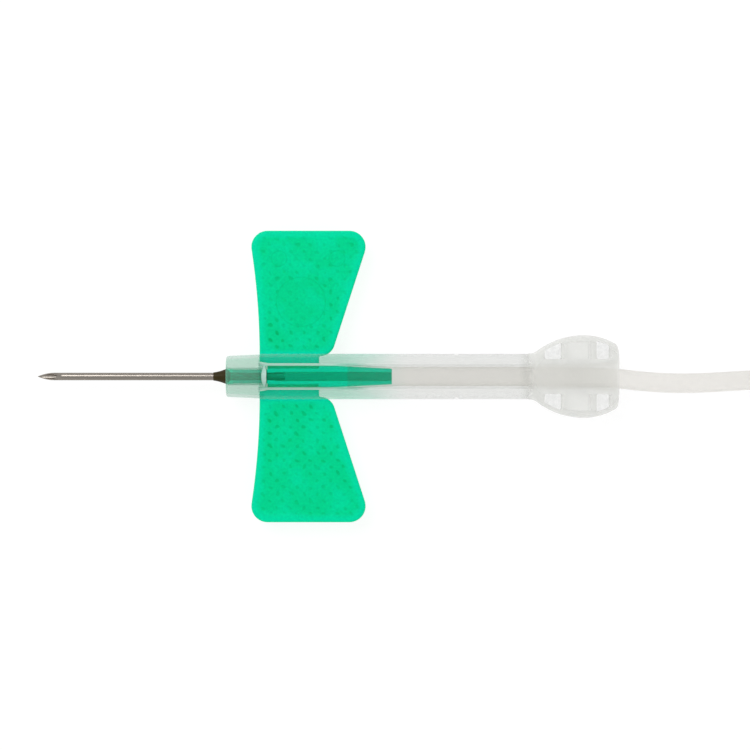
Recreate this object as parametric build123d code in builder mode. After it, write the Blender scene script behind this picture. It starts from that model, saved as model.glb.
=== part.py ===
from build123d import *
import math
import os

# Butterfly needle: a winged needle set whose slotted shield slides forward over the needle.
# Sizes are in millimetres. +X runs from the needle's point towards the tubing, +Y across the wings and
# +Z up. The origin is on the surface that the set lies on, below the middle of its length.

# Clearances
slot_gap = 0.1  # web to each face of its slot
stop_gap = 0.05  # web to each end of its slot
seat_gap = 0.02  # radial, around a spigot that is pressed in
glue_gap = 0.01  # radial, around a piece that is bonded
core_gap = 0.19  # radial, hub core to the shield's bore
nose_gap = 0.07  # radial, hub nose to the cap's bore
tip_cover = 1.1  # how far the cap stands past the needle's point when the shield is out

# Needle cannula, 21 gauge, with a lancet point
needle_d = 0.8
needle_wall = 0.145
needle_exposed = 19.0
needle_held = 7.7
bevel_length = 2.7
lancet_slope = 19.0
lancet_roll = 50.0

# Cone of adhesive at the needle's root
cone_length = 1.4
cone_front_d = 0.88
cone_base_d = 1.66
well_depth = 0.45

# Front cap
cap_length = 3.53
cap_front_d = 4.41
cap_rear_d = 4.74
cap_spigot_length = 0.8
cap_edge_round = 0.25
cap_lead_in = 0.15

# Shield barrel
barrel_d = 4.97
bore_d = 2.75
barrel_edge_round = 0.12
detent_radius = 0.3
detent_height = 0.07
detent_lead = 0.3
detent_share = 0.85

# Shield drum
drum_d = 8.92
drum_front_radius = 8.2
drum_rear_radius = 6.8
drum_rear_length = 3.7
drum_start_wall = 0.55
drum_blend = 1.2
drum_corner = 0.65
drum_wall = 0.45
sleeve_wall = 0.5
front_pocket_start = 1.05
front_pocket_share = 0.328  # of the drum's length that its pockets and recesses have
latch_recess_gap = 0.5
latch_recess_share = 0.402
latch_recess_edge = 0.08
latch_recess_depth = 1.2
rear_pocket_gap = 0.6
rear_wall = 0.79
pocket_round = 0.2
exit_d = 3.4
exit_flare = 2.6

# Hub
nose_d = 1.5
well_d = 1.76
well_length = 0.7
core_front_gap = 0.1
core_straight = 6.72
tail_length = 6.67
tail_d = 1.69
flow_bore_d = 1.0
flow_bore_start = 0.8

# Webs and wings
web_thickness = 0.7
hinge_offset = 0.32
hinge_groove = 0.2
root_chord = 7.78
ledge_depth = 0.285
ledge_length = 6.4
root_radius = 1.6
wing_reach = 15.7
lead_sweep = 1.2
lead_bow = 0.27
trailing_flare = 18.0
tip_radius = 1.75
grip_border = 0.75
grip_depth = 0.05
wing_edge_round = 0.2

# Tubing and its coil
tube_d = 2.1
tube_lap = 4.77
tube_stretched_wall = 0.2
bend_share = 0.45  # of the shorter run beside a bend that its arc takes up
coil_radius = 10.8
coil_layer = 2.2
coil_exit_turn = 640.0
coil_merge = 3.0
tail_run = 10.4

# Luer connector and its vent plug
luer_length = 20.0
luer_sleeve_length = 5.0
luer_sleeve_d = 3.4
luer_collar_width = 1.0
luer_body_d = 5.2
luer_mouth_length = 2.6
luer_lug_span = 7.8
luer_lug_width = 2.6
luer_fin_width = 0.8
luer_taper_d = 4.3
luer_taper_length = 9.0
luer_taper_ratio = 0.06
luer_flow_d = 1.2
tube_socket = 3.0
plug_head_length = 1.8
plug_spigot_length = 6.5
plug_notch_d = 0.9
plug_notches = 12
vent_d = 0.8

# Radii, and the height of the shield's axis, one barrel radius above the surface
needle_r = needle_d / 2
barrel_r = barrel_d / 2
bore_r = bore_d / 2
drum_r = drum_d / 2
core_r = bore_r - core_gap
tail_r = tail_d / 2
tube_r = tube_d / 2
hold_r = needle_r + glue_gap
sleeve_r = bore_r + sleeve_wall
axis_z = barrel_r
slot_half = web_thickness / 2 + slot_gap
hinge_y = barrel_r + hinge_offset

# The travel of the shield hides the point, and each slot is as long as its web and that travel
slide_travel = needle_exposed + cone_length + tip_cover
flare_slope = math.tan(math.radians(trailing_flare))
ledge_y = barrel_r - ledge_depth
root_tangent = root_radius / math.tan(math.radians(45 + trailing_flare / 2))
root_arc_x = root_chord - ledge_depth * flare_slope - root_tangent
web_length = root_arc_x + math.sqrt(root_radius**2 - (root_radius - ledge_depth) ** 2)
slot_length = stop_gap + web_length + slide_travel + stop_gap
drum_front_drop = drum_front_radius - (drum_r - barrel_r)
drum_front_length = math.sqrt(drum_front_radius**2 - drum_front_drop**2)
blend_lead = math.sqrt((drum_front_radius + drum_blend) ** 2 - (drum_front_drop + drum_blend) ** 2)

# Places along X, from the point to the drum's rear face
lengths = (needle_exposed, cone_length, cap_length, slot_length, drum_start_wall, drum_front_length)
overall_length = sum(lengths) + drum_rear_length
x_tip = -overall_length / 2
x_cone = x_tip + needle_exposed
x_cap = x_cone + cone_length
x_barrel = x_cap + cap_length
x_web = x_barrel + stop_gap
x_slot_end = x_barrel + slot_length
x_drum = x_slot_end + drum_start_wall
x_peak = x_drum + drum_front_length
x_rear = x_peak + drum_rear_length
x_flat = x_peak - blend_lead + stop_gap
x_core = x_barrel + cap_spigot_length + core_front_gap
x_taper = x_core + core_straight
x_tail = x_taper + tail_length
x_tube = x_tail - tube_lap
x_flow = x_core + flow_bore_start

center_line = Axis((0, 0, axis_z), (1, 0, 0))
mid_plane = Plane.XY.offset(axis_z)
lower_face = mid_plane.offset(-web_thickness / 2)
os.makedirs("parts", exist_ok=True)


# Outline of one wing and its web, seen from above, between two distances from the shield's axis
def wing_outline(inner, outer):
    root_lead = Vector(x_web, inner)
    tip_lead = Vector(x_web - lead_sweep, wing_reach)
    bow = (root_lead + tip_lead) / 2 + Vector(lead_bow, 0)
    trail_x = x_web + root_chord
    tip_trail = Vector(trail_x + (wing_reach - barrel_r) * flare_slope, wing_reach)
    ledge = Vector(trail_x - ledge_depth * flare_slope, ledge_y)
    heel_x = x_web + ledge_length
    with BuildSketch(mode=Mode.PRIVATE) as plan:
        with BuildLine():
            ThreePointArc(root_lead, bow, tip_lead)
            Polyline(tip_lead, tip_trail, ledge, (heel_x, ledge_y), (heel_x, inner), root_lead)
        make_face()
        fillet(plan.vertices().group_by(Axis.Y)[-1], tip_radius)
        fillet(plan.vertices().sort_by_distance(ledge)[0], root_radius)
        with Locations((0, (inner + outer) / 2)):
            Rectangle(2 * overall_length, outer - inner, mode=Mode.INTERSECT)
    return plan.sketch


# Cannula: a tube with a main bevel that faces up and two side grinds that make the lancet point
point = Vector(x_tip, 0, axis_z - needle_r)
bevel_slope = math.degrees(math.atan(needle_d / bevel_length))
bevel_normal = Vector(-1, 0, 0).rotate(Axis.Y, 90 - bevel_slope)
grind_normal = Vector(-1, 0, 0).rotate(Axis.Y, 90 - lancet_slope)

with BuildPart() as needle_cannula:
    with BuildSketch(Plane.YZ.offset(x_tip)):
        with Locations((0, axis_z)):
            Circle(needle_r)
            Circle(needle_r - needle_wall, mode=Mode.SUBTRACT)
    extrude(amount=needle_exposed + needle_held)
    split(bisect_by=Plane(point, x_dir=(0, 1, 0), z_dir=bevel_normal), keep=Keep.BOTTOM)
    for roll in (lancet_roll, -lancet_roll):
        grind = Plane(point, z_dir=grind_normal.rotate(Axis.X, roll))
        split(bisect_by=grind, keep=Keep.BOTTOM)
needle_cannula.part.label = "needle_cannula"
export_step(needle_cannula.part, "parts/needle_cannula.step")

# Adhesive: a cone around the needle's root that also fills the well in the hub's nose
with BuildPart() as needle_adhesive:
    with BuildSketch(mid_plane):
        with BuildLine():
            Polyline(
                (x_cone, hold_r),
                (x_cone, cone_front_d / 2),
                (x_cap, cone_base_d / 2),
                (x_cap + well_depth, hold_r),
                close=True,
            )
        make_face()
    revolve(axis=center_line)
needle_adhesive.part.label = "needle_adhesive"
export_step(needle_adhesive.part, "parts/needle_adhesive.step")

# Hub: nose with a well for the adhesive, core, tapered tail and two webs that pass through the slots
with BuildPart() as hub:
    with BuildSketch(mid_plane):
        with BuildLine():
            Polyline(
                (x_cap + well_depth + glue_gap, hold_r),
                (x_cap + glue_gap, cone_base_d / 2),
                (x_cap, cone_base_d / 2 + glue_gap),
                (x_cap, well_d / 2),
                (x_cap + well_length, well_d / 2),
                (x_cap + well_length + (well_d - nose_d) / 2, nose_d / 2),
                (x_core, nose_d / 2),
                (x_core, core_r),
                (x_taper, core_r),
                (x_tail, tail_r),
                (x_tail, flow_bore_d / 2),
                (x_flow, flow_bore_d / 2),
                (x_flow + hold_r - flow_bore_d / 2, hold_r),
                close=True,
            )
        make_face()
    revolve(axis=center_line)
    with BuildSketch(lower_face) as webs:
        add(wing_outline((core_r + flow_bore_d / 2) / 2, hinge_y))
        with Locations(((x_web + x_core) / 2, 0)):
            Rectangle(x_core - x_web, 2 * (bore_r + slot_gap), mode=Mode.SUBTRACT)
        mirror(about=Plane.XZ)
    extrude(amount=web_thickness)
    outer_edges = hub.edges().filter_by(Axis.X).filter_by_position(Axis.Z, 0, axis_z)
    chamfer(outer_edges.group_by(Axis.Y)[0] + outer_edges.group_by(Axis.Y)[-1], hinge_groove)
hub.part.label = "hub"
export_step(hub.part, "parts/hub.step")

# Wings: flexible plates beyond the living hinges, with a grip field sunk into both faces
with BuildPart() as wing_right:
    with BuildSketch(lower_face):
        add(wing_outline(hinge_y, wing_reach))
    extrude(amount=web_thickness)
    root_edges = wing_right.edges().filter_by(Axis.X).group_by(Axis.Y)[0]
    chamfer(root_edges.sort_by(Axis.Z)[0], hinge_groove)
    rims = wing_right.faces().filter_by(Axis.Z).edges()
    hinge_edges = rims.filter_by_position(Axis.Y, hinge_y, hinge_y + hinge_groove)
    fillet(rims - hinge_edges, wing_edge_round)
    with BuildSketch(mid_plane) as grip:
        add(wing_outline(hinge_y, wing_reach))
        offset(amount=-grip_border)
    for level in (web_thickness / 2, grip_depth - web_thickness / 2):
        extrude(grip.sketch.moved(Pos(0, 0, level)), amount=-grip_depth, mode=Mode.SUBTRACT)
wing_right.part.label = "wing_right"
export_step(wing_right.part, "parts/wing_right.step")

with BuildPart() as wing_left:
    mirror(wing_right.part, about=Plane.XZ)
wing_left.part.label = "wing_left"
export_step(wing_left.part, "parts/wing_left.step")

# Front cap: a nose whose spigot presses into the barrel and closes the open ends of the slots
with BuildPart() as front_cap:
    with BuildSketch(mid_plane) as cap_half:
        with BuildLine():
            Polyline(
                (x_cap, well_d / 2 + nose_gap + cap_lead_in),
                (x_cap, cap_front_d / 2),
                (x_barrel, cap_rear_d / 2),
                (x_barrel, bore_r - seat_gap),
                (x_barrel + cap_spigot_length, bore_r - seat_gap),
                (x_barrel + cap_spigot_length, well_d / 2 + nose_gap),
                (x_cap + cap_lead_in, well_d / 2 + nose_gap),
                close=True,
            )
        make_face()
        fillet(cap_half.vertices().sort_by_distance((x_cap, cap_front_d / 2))[0], cap_edge_round)
    revolve(axis=center_line)
front_cap.part.label = "front_cap"
export_step(front_cap.part, "parts/front_cap.step")


# Distance from the axis to the drum's outer arcs, moved inwards by an offset, at a place along X
def drum_reach(x, inset):
    radius = drum_front_radius if x < x_peak else drum_rear_radius
    return drum_r - radius + math.sqrt((radius - inset) ** 2 - (x - x_peak) ** 2)


# Cored pocket beside the drum's sleeve, from one place along X to another, out to the drum's wall
def drum_pocket(start, end):
    middle = (start + end) / 2
    with BuildSketch(mode=Mode.PRIVATE) as pocket:
        with BuildLine():
            first = Vector(start, drum_reach(start, drum_wall))
            last = Vector(end, drum_reach(end, drum_wall))
            ThreePointArc(first, (middle, drum_reach(middle, drum_wall)), last)
            Polyline(last, (end, sleeve_r), (start, sleeve_r), first)
        make_face()
        fillet(pocket.vertices(), pocket_round)
        mirror(about=Plane.XZ)
    return pocket.sketch


# Shield: barrel with two lengthwise slots and detents, and a cored drum with flats above and below
pocket_walls = front_pocket_start + latch_recess_gap + rear_pocket_gap + rear_wall
pocket_run = x_rear - x_drum - pocket_walls
front_pocket_end = x_drum + front_pocket_start + front_pocket_share * pocket_run
latch_start = front_pocket_end + latch_recess_gap
latch_recess_length = latch_recess_share * pocket_run
latch_recess_width = math.sqrt(drum_r**2 - barrel_r**2) - latch_recess_edge - sleeve_r
rear_pocket_x = latch_start + latch_recess_length + rear_pocket_gap
front_sweep = math.degrees(math.asin(drum_front_length / drum_front_radius))
rear_sweep = math.degrees(math.asin(drum_rear_length / drum_rear_radius))

with BuildPart() as shield:
    with BuildSketch(mid_plane) as half:
        with BuildLine():
            front_arc = CenterArc((x_peak, drum_r - drum_front_radius), drum_front_radius, 90, front_sweep)
            rear_arc = CenterArc((x_peak, drum_r - drum_rear_radius), drum_rear_radius, 90, -rear_sweep)
            Polyline(
                front_arc @ 1,
                (x_barrel, barrel_r),
                (x_barrel, bore_r),
                (x_rear - exit_flare, bore_r),
                (x_rear, exit_d / 2),
                rear_arc @ 1,
            )
        make_face()
        fillet(half.vertices().sort_by_distance((x_drum, barrel_r))[0], drum_blend)
        fillet(half.vertices().sort_by_distance(rear_arc @ 1)[0], drum_corner)
        fillet(half.vertices().sort_by_distance((x_barrel, barrel_r))[0], barrel_edge_round)
    revolve(axis=center_line)
    for side in (1, -1):
        with Locations(((x_flat + x_rear) / 2, 0, axis_z + side * (barrel_r + drum_r))):
            Box(x_rear - x_flat, 2 * drum_d, drum_d, mode=Mode.SUBTRACT)
    with BuildSketch(Plane.XZ):
        with Locations((x_barrel + slot_length / 2, axis_z)):
            Rectangle(slot_length, 2 * slot_half)
    extrude(amount=drum_d, both=True, mode=Mode.SUBTRACT)
    with BuildSketch(mid_plane):
        add(drum_pocket(x_drum + front_pocket_start, front_pocket_end))
        add(drum_pocket(rear_pocket_x, x_rear - rear_wall))
    extrude(amount=drum_d, both=True, mode=Mode.SUBTRACT)
    with BuildSketch(mid_plane.offset(barrel_r)) as recesses:
        with Locations((latch_start + latch_recess_length / 2, sleeve_r + latch_recess_width / 2)):
            RectangleRounded(latch_recess_length, latch_recess_width, pocket_round)
        mirror(about=Plane.XZ)
    extrude(amount=-latch_recess_depth, mode=Mode.SUBTRACT)
    extrude(
        recesses.sketch.moved(Pos(0, 0, latch_recess_depth - barrel_d)),
        amount=-latch_recess_depth,
        mode=Mode.SUBTRACT,
    )
    detent_offset = slot_half + detent_radius - detent_height
    detent_length = (barrel_r - bore_r) * detent_share
    for place in (x_barrel + stop_gap + web_length + detent_lead, x_web + slide_travel - detent_lead):
        for side in (1, -1):
            for level in (1, -1):
                with Locations((place, side * (barrel_r + bore_r) / 2, axis_z + level * detent_offset)):
                    Cylinder(detent_radius, detent_length, rotation=(90, 0, 0))
shield.part.label = "shield"
export_step(shield.part, "parts/shield.step")

# Tubing: its route in the photograph's view and past it, as a list of points for the tube's centre
route = [
    (x_tube, 0, axis_z),
    (29.6, 0, axis_z),
    (34.6, -0.62, 1.87),
    (38.6, -0.76, 1.3),
    (42.0, -0.62, tube_r),
    (46.0, -0.36, tube_r),
    (50.5, -0.25, tube_r),
    (57.95, -0.25, tube_r),
]


# Radius of the tangent arc at each inner point of a route, from its shorter run and its turn
def bend_radii(points):
    radii = []
    for before, corner, after in zip(points, points[1:], points[2:]):
        arriving = Vector(corner) - Vector(before)
        leaving = Vector(after) - Vector(corner)
        turn = math.radians(arriving.get_angle(leaving))
        radii.append(bend_share * min(arriving.length, leaving.length) / math.tan(turn / 2))
    return radii


radii = bend_radii(route)
print("cord arc radii, mm:", [round(r, 1) for r in radii])

# The coil stands where the route ends, and the tubing winds up it and leaves it from its upper layer
coil_x, coil_floor_y = route[-1][:2]
coil_y = coil_floor_y + coil_radius
exit_angle = coil_exit_turn - 90
coil_plane = Plane((coil_x, coil_y, 0), x_dir=Vector(1, 0, 0).rotate(Axis.Z, exit_angle), z_dir=(0, 0, 1))
upper_z = tube_r + coil_layer
heading = coil_plane.y_dir
tail_plane = Plane(
    coil_plane.from_local_coords(Vector(coil_radius, 0, upper_z)),
    x_dir=coil_plane.x_dir,
    z_dir=heading,
)

# Coil: one closed solid of the outer shape of its turns
with BuildPart() as tubing_coil:
    with BuildSketch(Plane.XZ.offset(-coil_y)):
        with Locations((coil_x + coil_radius, tube_r + coil_layer / 2)):
            SlotOverall(tube_d + coil_layer, tube_d, rotation=90)
    revolve(axis=Axis((coil_x, coil_y, 0), (0, 0, 1)))
tubing_coil.part.label = "tubing_coil"
export_step(tubing_coil.part, "parts/tubing_coil.step")

# Tubing: stretched over the hub's tail at its front end, and up to the coil's side at the other
lap_r = core_r - (core_r - tail_r) * (x_tube - x_taper) / tail_length
with BuildPart() as tubing:
    with BuildLine():
        FilletPolyline(*route[:-1], (coil_x - coil_merge, coil_floor_y, tube_r), radius=radii)
    with BuildSketch(Plane.YZ.offset(x_tube)):
        with Locations((0, axis_z)):
            Circle(tube_r)
    sweep()
    path_length = tubing.part.volume / (math.pi * tube_r**2)
    with BuildSketch(mid_plane):
        with BuildLine():
            Polyline(
                (x_tube, 0),
                (x_tube, lap_r + tube_stretched_wall),
                (x_tail, tube_r),
                (x_tail + tube_stretched_wall, tube_r),
                (x_tail + tube_stretched_wall, 0),
                close=True,
            )
        make_face()
    revolve(axis=center_line)
    with BuildSketch(mid_plane):
        with BuildLine():
            Polyline(
                (x_tube, 0),
                (x_tube, lap_r + glue_gap),
                (x_tail, tail_r + glue_gap),
                (x_tail, 0),
                close=True,
            )
        make_face()
    revolve(axis=center_line, mode=Mode.SUBTRACT)
    add(tubing_coil.part, mode=Mode.SUBTRACT)
tubing.part.label = "tubing"
export_step(tubing.part, "parts/tubing.step")

# Last stretch of the tubing, from the coil's side into the connector's socket
with BuildPart() as tubing_tail:
    with BuildSketch(tail_plane.offset(coil_merge)):
        Circle(tube_r)
    extrude(amount=tail_run + tube_socket - coil_merge)
    add(tubing_coil.part, mode=Mode.SUBTRACT)
tubing_tail.part.label = "tubing_tail"
export_step(tubing_tail.part, "parts/tubing_tail.step")

# Luer connector: tube socket, rest collar, finned body and a tapered mouth with two lugs
luer_plane = Plane(tail_plane.offset(tail_run).origin, x_dir=heading, z_dir=(0, 0, 1))
luer_axis = Axis(luer_plane.origin, heading)
luer_collar_end = luer_sleeve_length + luer_collar_width
luer_mouth_start = luer_length - luer_mouth_length
luer_taper_start = luer_length - luer_taper_length
luer_mouth_r = luer_taper_d / 2
luer_throat_r = luer_mouth_r - luer_taper_length * luer_taper_ratio / 2
with BuildPart() as luer_connector:
    with BuildSketch(luer_plane):
        with BuildLine():
            Polyline(
                (0, 0),
                (0, luer_sleeve_d / 2),
                (luer_sleeve_length, luer_body_d / 2),
                (luer_sleeve_length, upper_z),
                (luer_collar_end, upper_z),
                (luer_collar_end, luer_body_d / 2),
                (luer_mouth_start, luer_body_d / 2),
                (luer_mouth_start, upper_z),
                (luer_length, upper_z),
                (luer_length, 0),
                close=True,
            )
        make_face()
    revolve(axis=luer_axis)
    fin_length = luer_mouth_start - luer_collar_end
    with Locations(luer_plane.location * Pos((luer_collar_end + luer_mouth_start) / 2, 0, 0)):
        Box(fin_length, 2 * upper_z, luer_fin_width)
        Box(fin_length, luer_fin_width, 2 * upper_z)
    with Locations(luer_plane.location * Pos((luer_mouth_start + luer_length) / 2, 0, 0)):
        Box(luer_mouth_length, luer_lug_span, luer_lug_width)
    with BuildSketch(luer_plane):
        with BuildLine():
            Polyline(
                (0, 0),
                (0, tube_r + glue_gap),
                (tube_socket, tube_r + glue_gap),
                (tube_socket, luer_flow_d / 2),
                (luer_taper_start, luer_flow_d / 2),
                (luer_taper_start, luer_throat_r),
                (luer_length, luer_mouth_r),
                (luer_length, 0),
                close=True,
            )
        make_face()
    revolve(axis=luer_axis, mode=Mode.SUBTRACT)
luer_connector.part.label = "luer_connector"
export_step(luer_connector.part, "parts/luer_connector.step")

# Vent plug: a tapered spigot in the luer mouth and a notched head
plug_end_r = luer_mouth_r - plug_spigot_length * luer_taper_ratio / 2 - seat_gap
head_r = upper_z - glue_gap
with BuildPart() as luer_plug:
    with BuildSketch(luer_plane):
        with BuildLine():
            Polyline(
                (luer_length - plug_spigot_length, vent_d / 2),
                (luer_length - plug_spigot_length, plug_end_r),
                (luer_length, luer_mouth_r - seat_gap),
                (luer_length, head_r),
                (luer_length + plug_head_length, head_r),
                (luer_length + plug_head_length, vent_d / 2),
                close=True,
            )
        make_face()
    revolve(axis=luer_axis)
    with BuildSketch(Plane(luer_plane.origin + heading * luer_length, z_dir=heading)):
        with PolarLocations(head_r, plug_notches, start_angle=180 / plug_notches):
            Circle(plug_notch_d / 2)
    extrude(amount=plug_head_length, mode=Mode.SUBTRACT)
luer_plug.part.label = "luer_plug"
export_step(luer_plug.part, "parts/luer_plug.step")

coil_length = math.radians(coil_exit_turn) * coil_radius
total = path_length + coil_merge + coil_length + tail_run + tube_socket
print("tubing length in all, mm:", round(total, 1))
print("tubing in view and to the coil, mm:", round(path_length, 2))
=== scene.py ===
import math

import bpy
import numpy as np
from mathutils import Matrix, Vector


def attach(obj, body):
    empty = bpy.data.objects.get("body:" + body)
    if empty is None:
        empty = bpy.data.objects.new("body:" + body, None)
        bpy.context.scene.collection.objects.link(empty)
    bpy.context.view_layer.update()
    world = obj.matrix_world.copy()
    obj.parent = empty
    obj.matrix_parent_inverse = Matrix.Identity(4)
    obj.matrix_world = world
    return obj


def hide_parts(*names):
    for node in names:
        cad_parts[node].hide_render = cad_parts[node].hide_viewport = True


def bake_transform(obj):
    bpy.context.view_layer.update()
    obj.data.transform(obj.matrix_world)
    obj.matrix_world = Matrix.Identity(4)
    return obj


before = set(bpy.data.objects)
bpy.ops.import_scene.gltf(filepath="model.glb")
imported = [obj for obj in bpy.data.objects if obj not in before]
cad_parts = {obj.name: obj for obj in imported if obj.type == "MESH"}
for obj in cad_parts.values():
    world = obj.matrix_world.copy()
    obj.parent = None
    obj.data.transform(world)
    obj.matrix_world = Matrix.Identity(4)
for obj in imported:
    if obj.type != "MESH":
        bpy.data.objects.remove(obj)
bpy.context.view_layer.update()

bl_info = {
    "name": "Butterfly needle",
    "version": (1, 0, 0),
    "blender": (4, 5, 0),
    "location": "3D View > Sidebar > Butterfly needle",
    "description": "Finishes the winged needle set: wings, hub, adhesive, tubing and materials",
    "category": "Object",
}

MM = 0.001

# Places and sizes that the CAD model fixes, in millimetres
AXIS_Z = 2.485
BARREL_R = 2.485
BORE_R = 1.375
CORE_R = 1.185
TAIL_R = 0.845
X_CONE = -12.277
X_CAP = -10.877
X_WEB = -7.297
X_CORE = -6.447
X_TAPER = 0.273
X_TUBE = 2.173
X_TAIL = 6.943
X_PEAK = 27.577
DRUM_R = 4.46
DRUM_ARCS = (8.2, 6.8)
DRUM_WALL = 0.45
SLEEVE_R = 1.875

# Where each pocket of the drum starts and ends along X, and the web across it
POCKETS = ((23.289, 25.289), (28.841, 30.487))
POCKET_WEB_HALF = 0.12
POCKET_WEB_GAP = 0.02

# The wing's plan, and the thickness of its plate
HINGE_Y = 2.805
WING_REACH = 15.7
WEB_HALF = 0.35
ROOT_CHORD = 7.78
LEDGE_LENGTH = 6.4
LEDGE_Y = 2.2
LEAD_SWEEP = 1.2
LEAD_BOW = 0.27
TRAILING_FLARE = 18.0
ROOT_RADIUS = 1.6
TIP_RADIUS = 1.75

# How wide the slope into the sunk grip field is, and where it and its deeper green fade in from
GRIP_SLOPE = 0.2
GRIP_FROM = 3.3
GREEN_FROM = 2.6
FADE = 0.4

# The groove below the bend, which makes the living hinge
GROOVE_WIDTH = 0.16
GROOVE_DEPTH = 0.2

# Marks of ejector pins on the right wing: x, y and radius
EJECTOR_MARKS = ((-2.84, 8.03, 2.65), (-5.2, 12.7, 0.82), (1.04, 12.7, 0.85))

# Density at which 5 mm of a milky plastic takes away what its depth colour says
FOG_PER_METRE = 235.0

# The cone of adhesive: its length, its radius in front, how much it widens, and its run-out
CONE_LENGTH = 1.4
CONE_R = 0.44
CONE_WIDENING = 0.39
CONE_SAG = 0.05

# The hub's core as x and radius: out of the nose, back to the tail, and forwards along its bore
CORE_PROFILE = (
    (X_CAP + 0.46, 0.42),
    (X_CAP + 0.02, 0.84),
    (X_CAP, 0.88),
    (X_CAP + 0.68, 0.88),
    (X_CAP + 0.76, 0.76),
    (X_CAP + 0.86, 0.75),
    (X_CORE - 0.02, 0.75),
    (X_CORE, 0.77),
    (X_CORE, CORE_R - 0.05),
    (X_CORE + 0.05, CORE_R),
    (X_TAPER, CORE_R),
    (X_TAIL - 0.04, TAIL_R),
    (X_TAIL, TAIL_R - 0.04),
    (X_TAIL, 0.5),
    (X_CORE + 0.8, 0.5),
    (X_CORE + 0.72, 0.42),
)

# The tubing's route, as in the part's source, and the coil at its end
ROUTE = [
    (X_TUBE, 0.0, AXIS_Z),
    (X_TAIL, 0.0, AXIS_Z),
    (8.6, 0.0, AXIS_Z),
    (29.6, 0.0, AXIS_Z),
    (34.6, -0.62, 1.87),
    (38.6, -0.76, 1.3),
    (42.0, -0.62, 1.05),
    (46.0, -0.36, 1.05),
    (50.5, -0.25, 1.05),
]
LAP_STRETCH = 1.227
COIL_CENTRE = (57.95, 10.55)
COIL_RADIUS = 10.8
COIL_LOW = 1.05
COIL_HIGH = 3.25
COIL_TURN = 640.0
COIL_RAMP = (300.0, 348.0)
COIL_STEP = 22.5
TAIL_RUN = 13.4

# A spline of order 3 keeps inside its control points, at this share of their distance
SPLINE_SHARE = 0.981

# What the photo shows: the middle of the view and its width
VIEW_CENTRE = (5.13, 0.16)
VIEW_WIDTH = 80.8


def linear(code):
    """Linear RGBA of an sRGB hex value."""
    channels = [int(code[i : i + 2], 16) / 255 for i in (1, 3, 5)]
    return [c / 12.92 if c <= 0.04045 else ((c + 0.055) / 1.055) ** 2.4 for c in channels] + [1.0]


def colour_property(name, description, code):
    """A colour that a user can change, with its default given as an sRGB hex value."""
    return bpy.props.FloatVectorProperty(
        name=name,
        description=description,
        subtype="COLOR",
        size=4,
        min=0.0,
        max=1.0,
        default=linear(code),
    )


class NeedleSizes(bpy.types.PropertyGroup):
    """Sizes of the finish that stand on top of the CAD model."""

    edge_round: bpy.props.FloatProperty(
        name="Wing edge",
        description="Radius of the moulded edge all round a wing",
        default=0.28 * MM,
        unit="LENGTH",
    )
    border: bpy.props.FloatProperty(
        name="Smooth border",
        description="Width of the plain border around the grip field",
        default=0.75 * MM,
        unit="LENGTH",
    )
    grip_depth: bpy.props.FloatProperty(
        name="Grip depth",
        description="How far the grip field is sunk below the border",
        default=0.05 * MM,
        unit="LENGTH",
    )
    dimple_pitch: bpy.props.FloatProperty(
        name="Dimple pitch",
        description="Distance between dimples along a row of the grip field",
        default=1.45 * MM,
        unit="LENGTH",
    )
    tube: bpy.props.FloatProperty(
        name="Tubing",
        description="Outer diameter of the tubing",
        default=2.1 * MM,
        unit="LENGTH",
    )
    tube_length: bpy.props.FloatProperty(
        name="Tubing length",
        description="Length of the tubing from the hub to the connector",
        default=190 * MM,
        unit="LENGTH",
    )


class NeedleColours(bpy.types.PropertyGroup):
    """Colours of the finishes."""

    steel: colour_property("Steel", "Drawn stainless steel of the cannula", "#A39C94")
    blasted: colour_property(
        "Blasted steel", "Cannula where the hub holds it, roughened for bonding", "#E6E3DC"
    )
    steel_edge: colour_property(
        "Steel edge", "What the tube mirrors at a glancing angle", "#000000"
    )
    adhesive: colour_property("Adhesive", "Cured adhesive at the needle's root", "#403616")
    wing: colour_property("Wings", "Green of the wings and the hub", "#00F3C8")
    web: colour_property("Webs", "Green of the webs between the wings and the hub", "#00F4DC")
    core: colour_property("Hub core", "Green that the hub's core scatters", "#00F2C4")
    core_film: colour_property(
        "Hub film", "What one surface of the hub's core lets through", "#1CF3E7"
    )
    core_bore: colour_property(
        "Hub bore", "What the wall of the hub's bore lets through", "#1CDED8"
    )
    core_depth: colour_property("Hub depth", "What the depth of the hub's core spares", "#00FFD0")
    field: colour_property("Grip field", "Deeper green of the sunk grip field", "#00EAB0")
    shield: colour_property("Shield", "Natural tint of the shield and its cap", "#C9CBC8")
    shield_film: colour_property(
        "Shield film", "What one surface of the shield lets through", "#FEFEFE"
    )
    shield_depth: colour_property(
        "Shield depth", "What 5 mm of the shield's plastic lets through", "#E5E6E3"
    )
    drum: colour_property("Drum", "Milky plastic of the thick drum", "#FEFEFC")
    # Painted glow: the next three colours tint the plastic beside the green hub, standing in for
    # the hub's light scattered in it
    glow: colour_property("Glow", "Green that the plastic beside the hub scatters", "#80F4DC")
    cap_glow: colour_property(
        "Cap glow", "Green that the cap around the hub's nose scatters", "#BCF4DC"
    )
    painted_glow_film: colour_property(
        "Carried green", "What a surface beside the green hub lets through", "#F0F8F5"
    )
    tubing: colour_property("Tubing", "Natural tint of the tubing", "#E2E0DD")
    tubing_film: colour_property(
        "Tubing film", "What one surface of the tubing lets through", "#F5F4F2"
    )
    connector: colour_property("Connector", "Tint of the clear connector", "#E8ECEC")
    plug: colour_property("Plug", "White of the vent plug", "#F2F2EF")
    # Painted highlight along the two sides of the shield's bore beside the hub
    bore_highlight: colour_property("Bore sides", "Pale green of the bore's sides beside the hub", "#FAFFFD")
    # Painted highlight across the inner end of the cap's spigot
    lens: colour_property(
        "Cap end", "Pale blue of the cap's inner end, which gathers light", "#FAFEFF"
    )
    floor: colour_property(
        "Floor", "What the lit floor scatters of the light from above", "#7A7A7A"
    )


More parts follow.
